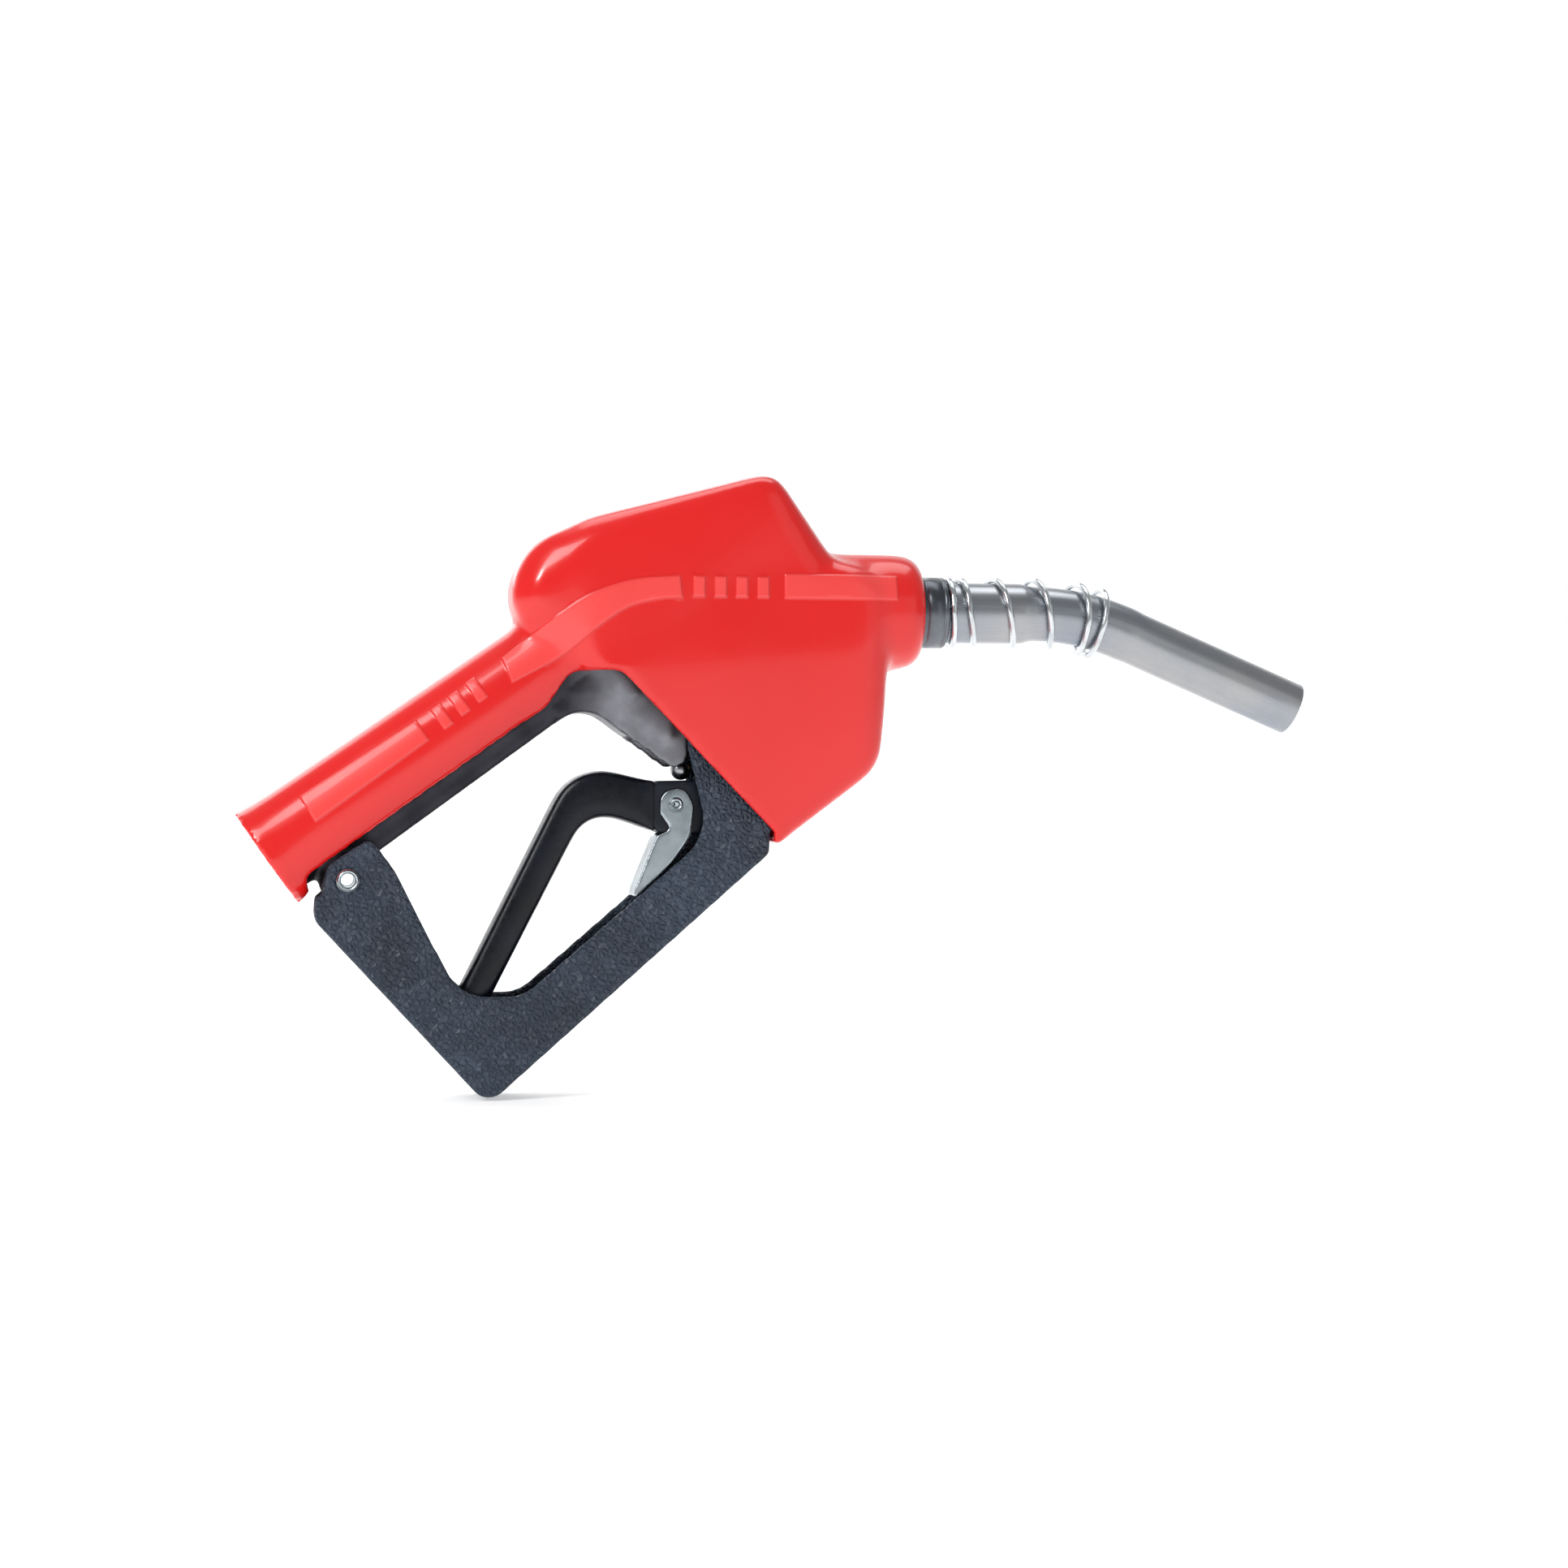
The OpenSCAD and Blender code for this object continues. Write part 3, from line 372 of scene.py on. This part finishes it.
# %% [markdown]
# ## The scuff cover
# On the real nozzle one vinyl moulding covers the handle, the body and the nose.
# Its edges flow into each other, and flat bands stand half a millimetre proud
# along each side. The melt gives the flowing edges, with the mouth of the cover
# held so that its rim doesn't creep back. The hump's rear shoulder is fuller
# than the block it was melted from, so it is pushed out a little. The bands come
# last, because a melt would blur them: each side is first drawn in by the
# height of a band, and the faces beside a band's outline are split finer.

# %% Outlines that guide the cover
def in_row(pairs):
    return np.array(pairs, float) * MM


RIM = in_row([(9, -20), (14, -10), (97.5, 48.6), (112.8, 70.9), (131, 71.5), (190.7, 9.7),
              (192, 3)])


def curved(path, steps=6):
    """A smooth curve through a row of points (Catmull-Rom)."""
    ends = np.vstack([2 * path[0] - path[1], path, 2 * path[-1] - path[-2]])
    curve = []
    for a, b, c, d in zip(ends, ends[1:], ends[2:], ends[3:]):
        for t in np.arange(steps) / steps:
            curve.append(b + 0.5 * t * (c - a + t * (2 * a - 5 * b + 4 * c - d
                                                     + t * (3 * (b - c) + d - a))))
    return np.array(curve + [path[-1]])


BANDS = [
    in_row([(12.1, 23.6), (54.6, 51.7), (59.4, 45.0), (18.0, 14.7)]),
    np.vstack([
        curved(in_row([(87.1, 75.6), (106.1, 90.8), (119.6, 99.7), (135.2, 105.1),
                       (153.0, 106.9)])),
        curved(in_row([(154.0, 98.8), (145.1, 98.1), (133.4, 95.0), (121.7, 87.1), (110.0, 77.3),
                       (90.6, 66.6)]))]),
    in_row([(193.6, 107.9), (237.8, 107.9), (237.8, 98.9), (193.6, 98.9)]),
]
BAND_HEIGHT = 0.6 * MM
BAND_EDGE = 0.7 * MM


def rib(x, z, turn_deg, wide, tall):
    turn = math.radians(turn_deg)
    corners = np.array([(-wide, -tall), (wide, -tall), (wide, tall), (-wide, tall)]) / 2
    spin = np.array([(math.cos(turn), -math.sin(turn)), (math.sin(turn), math.cos(turn))])
    return (corners @ spin.T + (x, z)) * MM


RIBS = [rib(64.5 + 6.4 * i, 53.6 + 5.0 * i, 36, 3.8, 8.6) for i in range(3)]
RIBS += [rib(160.5 + 8.2 * i, 102.9, 0, 4.2, 7.6) for i in range(4)]


def distance_to_line(x, z, a, b):
    along = b - a
    t = np.clip(((x - a[0]) * along[0] + (z - a[1]) * along[1]) / (along @ along), 0, 1)
    return np.hypot(x - a[0] - t * along[0], z - a[1] - t * along[1])


def distance_to_path(points, path, closed=False):
    ends = list(zip(path[:-1], path[1:])) + ([(path[-1], path[0])] if closed else [])
    x, z = points[:, 0], points[:, 2]
    return np.min([distance_to_line(x, z, a, b) for a, b in ends], axis=0)


def inside(points, path):
    x, z = points[:, 0], points[:, 2]
    odd = np.zeros(len(points), bool)
    for (x1, z1), (x2, z2) in zip(path, np.roll(path, -1, axis=0)):
        crosses = (z1 > z) != (z2 > z)
        where = x < (x2 - x1) * (z - z1) / (z2 - z1 if z2 != z1 else 1e-12) + x1
        odd ^= crosses & where
    return odd


HANDLE_TILT = math.radians(35)


def hold_rim(points):
    """Nearly still at the cover's open edges, and free from eight millimetres away."""
    near = distance_to_path(points, RIM)
    nose = np.abs(points[:, 0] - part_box("scuff_cover")[1][0])
    inlet = np.abs(points[:, 0] * math.cos(HANDLE_TILT) + points[:, 2] * math.sin(HANDLE_TILT))
    near = np.minimum(near, np.minimum(nose, inlet))
    return np.clip((near - 1.2 * MM) / (7 * MM), 0.04, 1)


print("bands:", len(BANDS))

# %% Melt the cover
COVER_VOXEL = 1.3
COVER_PASSES = 40
cover = melted("scuff_cover_moulding", COVER_VOXEL, COVER_PASSES, "scuff_cover", hold=hold_rim)
print("cover points:", len(cover.data.vertices))

# %% Fill out the hump's rear shoulder
SHOULDER = np.array((103, 119)) * MM
SHOULDER_SIZE = 11 * MM
SHOULDER_PUSH = np.array((-0.58, 0, 0.81)) * 2.4 * MM


def push_shoulder(mesh):
    points = points_of(mesh)
    away = np.hypot(*(points[:, [0, 2]] - SHOULDER).T) / SHOULDER_SIZE
    points += np.exp(-away ** 2)[:, None] * SHOULDER_PUSH
    mesh.vertices.foreach_set("co", points.ravel())
    mesh.update()


def narrow(mesh, depth):
    """Draws each side in by a depth, which leaves room for what stands proud of it."""
    points = points_of(mesh)
    half_width = np.abs(points[:, 1]).max()
    points[:, 1] *= 1 - depth / half_width
    mesh.vertices.foreach_set("co", points.ravel())
    mesh.update()


push_shoulder(cover.data)
narrow(cover.data, BAND_HEIGHT)
print("cover's half width in mm:", round(np.abs(points_of(cover.data)[:, 1]).max() / MM, 2))

# %% Push the bands out
def facing_out(mesh, points):
    normals = np.empty(len(mesh.vertices) * 3)
    mesh.vertices.foreach_get("normal", normals)
    normals = normals.reshape(-1, 3)
    return normals, normals[:, 1] * np.sign(points[:, 1]) > 0.3


def refine(mesh, outlines, reach, cuts):
    """Splits the faces beside an outline, so that its raised edge is drawn crisply."""
    points = points_of(mesh)
    outside = facing_out(mesh, points)[1]
    near = outside & np.any([distance_to_path(points, line, True) < reach
                             for line in outlines], axis=0)
    work = bmesh.new()
    work.from_mesh(mesh)
    chosen = [e for e in work.edges if near[e.verts[0].index] and near[e.verts[1].index]]
    bmesh.ops.subdivide_edges(work, edges=chosen, cuts=cuts, use_grid_fill=True)
    work.to_mesh(mesh)
    work.free()
    mesh.update()


def raise_bands(mesh, outlines, height, edge):
    points = points_of(mesh)
    normals, outside = facing_out(mesh, points)
    lift = np.zeros(len(points))
    for outline in outlines:
        deep = distance_to_path(points, outline, closed=True)
        signed = np.where(inside(points, outline), deep, -deep)
        t = np.clip(signed / edge + 0.5, 0, 1)
        lift = np.maximum(lift, t * t * (3 - 2 * t))
    points += normals * (height * lift * outside)[:, None]
    mesh.vertices.foreach_set("co", points.ravel())
    raised = mesh.attributes.new("raised", "FLOAT", "POINT")
    raised.data.foreach_set("value", (lift * outside).astype(np.float32))
    mesh.update()


OUTLINE_REACH = 1.8 * MM
refine(cover.data, BANDS + RIBS, OUTLINE_REACH, 2)
raise_bands(cover.data, BANDS + RIBS, BAND_HEIGHT, BAND_EDGE)
finished(cover, "cover_vinyl", "nozzle_body", "scuff_cover")

# %% [markdown]
# ## The guard and the lever
# The guard is one nylon moulding, open along its inside, that keeps the lever
# from being knocked. The lever is a steel bar in a dipped sleeve, so its
# section is nearly round. A light melt rounds the guard's edges by about a
# millimetre, and a longer one turns the lever's square bar into a soft one.

# %% Melt the guard, the sleeve and the core
LIGHT_PASSES = 4
GUARD_PASSES = 7
LEVER_PASSES = 70
guard = melted("lever_guard_moulding", 1.0, GUARD_PASSES, "lever_guard")
finished(guard, "guard_plastic", "nozzle_body", "lever_guard")
SLEEVE_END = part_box("lever_sleeve")[1].x


def hold_end(points):
    """Free inside the sleeve, and nearly still from its end to the pin."""
    return np.clip((SLEEVE_END - 1 * MM - points[:, 0]) / (6 * MM), 0.12, 1)


sleeve = melted("lever_sleeve_dipped", 0.8, LEVER_PASSES, "lever_sleeve", hold=hold_end)
finished(sleeve, "lever_vinyl", "lever", "lever_sleeve")
core = melted("lever_core_bar", 0.8, LEVER_PASSES, "lever_core", hold=hold_end)
finished(core, "lever_paint", "lever", "lever_core")
clip = melted("hold_open_clip_sheet", 0.4, LIGHT_PASSES, "hold_open_clip")
finished(clip, "clip_steel", "clip", "hold_open_clip")
casting = melted("body_casting_surface", 1.4, LIGHT_PASSES, "body_casting")
finished(casting, "cast_body", "nozzle_body", "body_casting")

# %% [markdown]
# ## Springs
# A coil spring follows a rule: a point goes round a circle while it moves along.
# Geometry Nodes turn that rule into wire. A line of points is bent into the
# coil, and a small circle is swept along it. The anchor spring around the spout
# holds the spout in a filler neck, and its turns follow the tube's bend.

# %% A node tree for wire along given points
def wire_tree():
    tree = bpy.data.node_groups.new("wire along a path", "GeometryNodeTree")
    face = tree.interface
    face.new_socket("Geometry", in_out="INPUT", socket_type="NodeSocketGeometry")
    radius = face.new_socket("Wire radius", in_out="INPUT", socket_type="NodeSocketFloat")
    sides = face.new_socket("Sides", in_out="INPUT", socket_type="NodeSocketInt")
    metal_in = face.new_socket("Finish", in_out="INPUT", socket_type="NodeSocketMaterial")
    face.new_socket("Geometry", in_out="OUTPUT", socket_type="NodeSocketGeometry")
    start = node(tree, "NodeGroupInput")
    line = node(tree, "GeometryNodeMeshToCurve", links={"Mesh": start.outputs["Geometry"]})
    section = node(tree, "GeometryNodeCurvePrimitiveCircle",
                   links={"Resolution": start.outputs["Sides"],
                          "Radius": start.outputs["Wire radius"]})
    swept = node(tree, "GeometryNodeCurveToMesh", values={"Fill Caps": True},
                 links={"Curve": line.outputs["Curve"], "Profile Curve": section.outputs["Curve"]})
    real = node(tree, "GeometryNodeRealizeInstances", links={"Geometry": swept.outputs["Mesh"]})
    coated = node(tree, "GeometryNodeSetMaterial",
                  links={"Geometry": real.outputs["Geometry"],
                         "Material": start.outputs["Finish"]})
    node(tree, "NodeGroupOutput", links={"Geometry": coated.outputs["Geometry"]})
    return tree, {"radius": radius.identifier, "sides": sides.identifier,
                  "finish": metal_in.identifier}


WIRE, WIRE_INPUT = wire_tree()


def wire(name, path, radius, slot, body, *stands_for, sides=12):
    mesh = bpy.data.meshes.new(name)
    mesh.from_pydata([tuple(p) for p in path], [(i, i + 1) for i in range(len(path) - 1)], [])
    piece = bpy.data.objects.new(name, mesh)
    bpy.context.scene.collection.objects.link(piece)
    bend = piece.modifiers.new("wire", "NODES")
    bend.node_group = WIRE
    bend[WIRE_INPUT["radius"]] = radius
    bend[WIRE_INPUT["sides"]] = sides
    bend[WIRE_INPUT["finish"]] = finishes[slot]
    plain_mesh(piece)
    return finished(piece, slot, body, *stands_for)


print("wire tree ready")

# %% The line along the middle of the spout
NOSE_Z = (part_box("spout_nut")[0].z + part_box("spout_nut")[1].z) / 2
NUT_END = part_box("spout_nut")[1].x
BEND_START = NUT_END + 36 * MM
BEND_RADIUS = 97 * MM
BEND = math.radians(23)
END_LENGTH = 75 * MM
ARC = BEND_RADIUS * BEND


def spout_line(x):
    """Middle point and lean of the spout at a length x measured from the frame's origin."""
    turn = min(max((x - BEND_START) / BEND_RADIUS, 0), BEND)
    straight = max(x - BEND_START - ARC, 0)
    flat = min(x, BEND_START)
    drop = BEND_RADIUS * (1 - math.cos(turn)) + straight * math.sin(turn)
    return np.array([flat + BEND_RADIUS * math.sin(turn) + straight * math.cos(turn), 0,
                     NOSE_Z - drop]), turn


def on_spout(x, radius, angle):
    middle, lean = spout_line(x)
    up = radius * math.cos(angle)
    return middle + np.array([up * math.sin(lean), radius * math.sin(angle), up * math.cos(lean)])


print("spout tip:", [round(v / MM, 1) for v in spout_line(BEND_START + ARC + END_LENGTH)[0]])

# %% Coil the anchor spring
ANCHOR_WIRE = 1.2 * MM
ANCHOR_RADIUS = 13.2 * MM
ANCHOR_GAP = 0.2 * MM
CLOSE_PITCH, OPEN_PITCH = 6.4 * MM, 16 * MM
TURNS = 5
CLOSED_END = 0.5


def anchor_run(turns):
    """How far the wire has moved along the spout: its first and last turns lie closer."""
    turns = min(max(turns, 0), TURNS)
    open_turns = min(max(turns - 1, 0), TURNS - 2)
    return OPEN_PITCH * open_turns + CLOSE_PITCH * (turns - open_turns)


def anchor_path(steps=40):
    path = []
    for n in np.arange(-CLOSED_END, TURNS + CLOSED_END + 0.5 / steps, 1 / steps):
        x = NUT_END + ANCHOR_WIRE + ANCHOR_GAP + anchor_run(n)
        path.append(on_spout(x, ANCHOR_RADIUS, -math.tau * n - math.pi / 2))
    return path


wire("anchor_spring_wire", anchor_path(), ANCHOR_WIRE, "anchor_wire", "nozzle_body",
     "anchor_spring", sides=14)

# %% [markdown]
# ## Turned and drawn parts
# A lathe part is one outline spun about an axis. The spout is the same idea with
# the axis bent: rings of points ride along its middle line, go round the lip at
# the mouth and come back as the inner wall. Each ring keeps its own length and
# angle as a UV map, so that the lines left by drawing follow the bend.

# %% Rings into a closed skin
SIDES = 96


def ring_skin(name, rings, lengths):
    count = len(rings)
    points = [tuple(p) for ring in rings for p in ring]
    faces, spots = [], []
    for i in range(count):
        j = (i + 1) % count
        for k in range(SIDES):
            m = (k + 1) % SIDES
            faces.append((i * SIDES + k, i * SIDES + m, j * SIDES + m, j * SIDES + k))
            v0, v1 = k / SIDES, (k + 1) / SIDES
            far = lengths[j] if j else lengths[i]
            spots += [(lengths[i], v0), (lengths[i], v1), (far, v1), (far, v0)]
    mesh = bpy.data.meshes.new(name)
    mesh.from_pydata(points, [], faces)
    layer = mesh.uv_layers.new(name="along")
    layer.data.foreach_set("uv", np.array(spots).ravel())
    piece = bpy.data.objects.new(name, mesh)
    bpy.context.scene.collection.objects.link(piece)
    work = bmesh.new()
    work.from_mesh(mesh)
    bmesh.ops.recalc_face_normals(work, faces=work.faces)
    work.to_mesh(mesh)
    work.free()
    return piece


def spun(name, outline, place, axis):
    """Spins a closed outline of (height, radius) in millimetres about an axis."""
    axis = Vector(axis).normalized()
    side = axis.orthogonal().normalized()
    other = axis.cross(side)
    rings = [[Vector(place) + MM * (h * axis + r * (math.cos(math.tau * k / SIDES) * side
                                                   + math.sin(math.tau * k / SIDES) * other))
              for k in range(SIDES)] for h, r in outline]
    lengths = [h * MM for h, r in outline]
    return ring_skin(name, rings, lengths)


print("lathe ready")

# %% Draw the spout
SPOUT_START = NUT_END - 20 * MM
SPOUT_END = BEND_START + ARC + END_LENGTH
BASE_RADIUS, BEND_TUBE_RADIUS, END_RADIUS = 11.7, 10.6, 10.3
SPOUT_BORE = 9.1
LIP = 0.5
SWAGE_START = BEND_START - 6 * MM
BEND_END = BEND_START + ARC
END_START = BEND_END + 4 * MM


def spout_radius(x):
    """Radius in millimetres: a wide base, a smooth swage, the bend and the straight end."""
    t = np.clip((x - SWAGE_START) / (BEND_START - SWAGE_START), 0, 1)
    swaged = BASE_RADIUS - (BASE_RADIUS - BEND_TUBE_RADIUS) * t * t * (3 - 2 * t)
    u = np.clip((x - BEND_END) / (END_START - BEND_END), 0, 1)
    return swaged - (BEND_TUBE_RADIUS - END_RADIUS) * u


def spout_rings():
    stations = list(np.linspace(SPOUT_START, SWAGE_START, 8)[:-1])
    stations += list(np.linspace(SWAGE_START, BEND_START, 9)[:-1])
    stations += list(np.linspace(BEND_START, END_START, 27)[:-1])
    stations += list(np.linspace(END_START, SPOUT_END - LIP * MM, 8))
    outline = [(x, spout_radius(x)) for x in stations]
    for a in (30, 60, 90):
        t = math.radians(a)
        outline.append((SPOUT_END - LIP * MM * (1 - math.sin(t)),
                        spout_radius(SPOUT_END) - LIP * (1 - math.cos(t))))
    outline.append((SPOUT_END - 0.2 * MM, SPOUT_BORE + 0.1))
    inner = [SPOUT_START] + stations[1:-1:2] + [SPOUT_END - MM]
    outline += [(x, SPOUT_BORE) for x in reversed(inner)]
    rings = [[on_spout(x, r * MM, math.tau * k / SIDES) for k in range(SIDES)]
             for x, r in outline]
    return rings, [x for x, r in outline]


finished(ring_skin("spout_tube_drawn", *spout_rings()), "spout_metal", "nozzle_body", "spout_tube")

# %% Turn the nut and the rivets
def middle_of(part):
    low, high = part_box(part)
    return (low + high) / 2


NUT_OUTLINE = [(-30, 8), (-30, 12.9), (-14.2, 12.9), (-14, 13.6), (-13.6, 13.8), (-9.4, 13.8),
               (-9.2, 13.5), (-8.6, 13.5), (-8.4, 13.8), (-2.6, 13.8), (-2.4, 13.5),
               (-1.9, 13.5), (-1.7, 13.8), (-0.9, 13.75), (-0.35, 13.45), (0, 12.9), (0, 11.9),
               (-19.9, 11.75), (-20, 8)]
finished(spun("spout_nut_turned", NUT_OUTLINE, (NUT_END, 0, NOSE_Z), (1, 0, 0)),
         "nut_metal", "nozzle_body", "spout_nut")


def rolled_rivet(half_length, head, bore):
    """Half of a tubular rivet's outline, from its middle out over the rolled head."""
    shank = bore + 0.75
    rolled = [(0, head - 0.35), (0.2, head - 0.05), (0.6, head), (1.0, head - 0.25),
              (1.3, head - 0.8), (1.38, (head + bore) / 2 + 0.2), (1.25, shank),
              (0.8, bore + 0.25), (0, bore)]
    return [(0, bore), (0, shank), (half_length, shank)] + [(half_length + h, r)
                                                            for h, r in rolled]


def rivet_pair(name, part, half_length, head, bore, slot, body):
    place = middle_of(part)
    halves = [spun(name + tag, rolled_rivet(half_length, head, bore), place, (0, way, 0))
              for tag, way in (("_left", -1), ("_right", 1))]
    finished(halves[0], slot, body, part)
    finished(halves[1], slot, body, part)


GUARD_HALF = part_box("lever_guard")[1].y / MM
rivet_pair("guard_rivet_rolled", "guard_rivet", GUARD_HALF, 4.4, 2.6, "plated_rivet",
           "nozzle_body")
CLIP_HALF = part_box("hold_open_clip")[1].y / MM
rivet_pair("clip_rivet_rolled", "clip_rivet", CLIP_HALF, 2.7, 1.1, "plated_rivet", "lever")

# %% [markdown]
# ## Floor and light
# A pale sheet curves up behind the nozzle like a roll of studio paper, so no
# horizon line shows. Large soft lights make long highlights on the gloss.

# %% Studio
def studio_sheet():
    floor_z, near, far, high, radius, half_width = cad_low[2] - MM, -3.0, 2.6, 3.0, 0.8, 4
    profile = [(near, floor_z)]
    for i in range(17):
        a = math.radians(90 * i / 16)
        profile.append((far - radius + radius * math.sin(a),
                        floor_z + radius - radius * math.cos(a)))
    profile.append((far, high))
    mesh = bpy.data.meshes.new("studio_paper")
    points = [(x, y, z) for x in (-half_width, half_width) for y, z in profile]
    n = len(profile)
    mesh.from_pydata(points, [], [(i, i + n, i + n + 1, i + 1) for i in range(n - 1)])
    sheet = bpy.data.objects.new("studio_paper", mesh)
    bpy.context.scene.collection.objects.link(sheet)
    mesh.shade_smooth()
    paper = bpy.data.materials.new("matt studio paper")
    paper.use_nodes = True
    surface = paper.node_tree.nodes["Principled BSDF"]
    surface.inputs["Base Color"].default_value = colour("F7F7F7")
    surface.inputs["Roughness"].default_value = 0.9
    surface.inputs["Emission Color"].default_value = colour("FFFFFF")
    surface.inputs["Emission Strength"].default_value = 0.38
    mesh.materials.append(paper)


def soft_light(name, place, width, height, watts):
    data = bpy.data.lights.new(name, "AREA")
    data.shape, data.size, data.size_y, data.energy = "RECTANGLE", width, height, watts
    lamp = bpy.data.objects.new(name, data)
    lamp.location = place
    lamp.rotation_euler = (LOOK_AT - Vector(place)).to_track_quat("-Z", "Y").to_euler()
    bpy.context.scene.collection.objects.link(lamp)


studio_sheet()
soft_light("key", (-1.2, -1.2, 1.5), 0.9, 0.9, 17)
soft_light("fill", (1.3, -1.5, 0.4), 1.0, 1.2, 1.5)
soft_light("top", (0.3, 0.4, 1.9), 1.8, 1.0, 14)
soft_light("rear", (-0.3, 1.6, 1.0), 1.4, 1.4, 8)
soft_light("window", (-1.1, -0.9, 0.75), 0.16, 0.3, 5)
world = bpy.data.worlds.new("pale room")
world.use_nodes = True
world.node_tree.nodes["Background"].inputs["Color"].default_value = colour("F2F4F6")
world.node_tree.nodes["Background"].inputs["Strength"].default_value = 0.42
bpy.context.scene.world = world
print("studio ready")
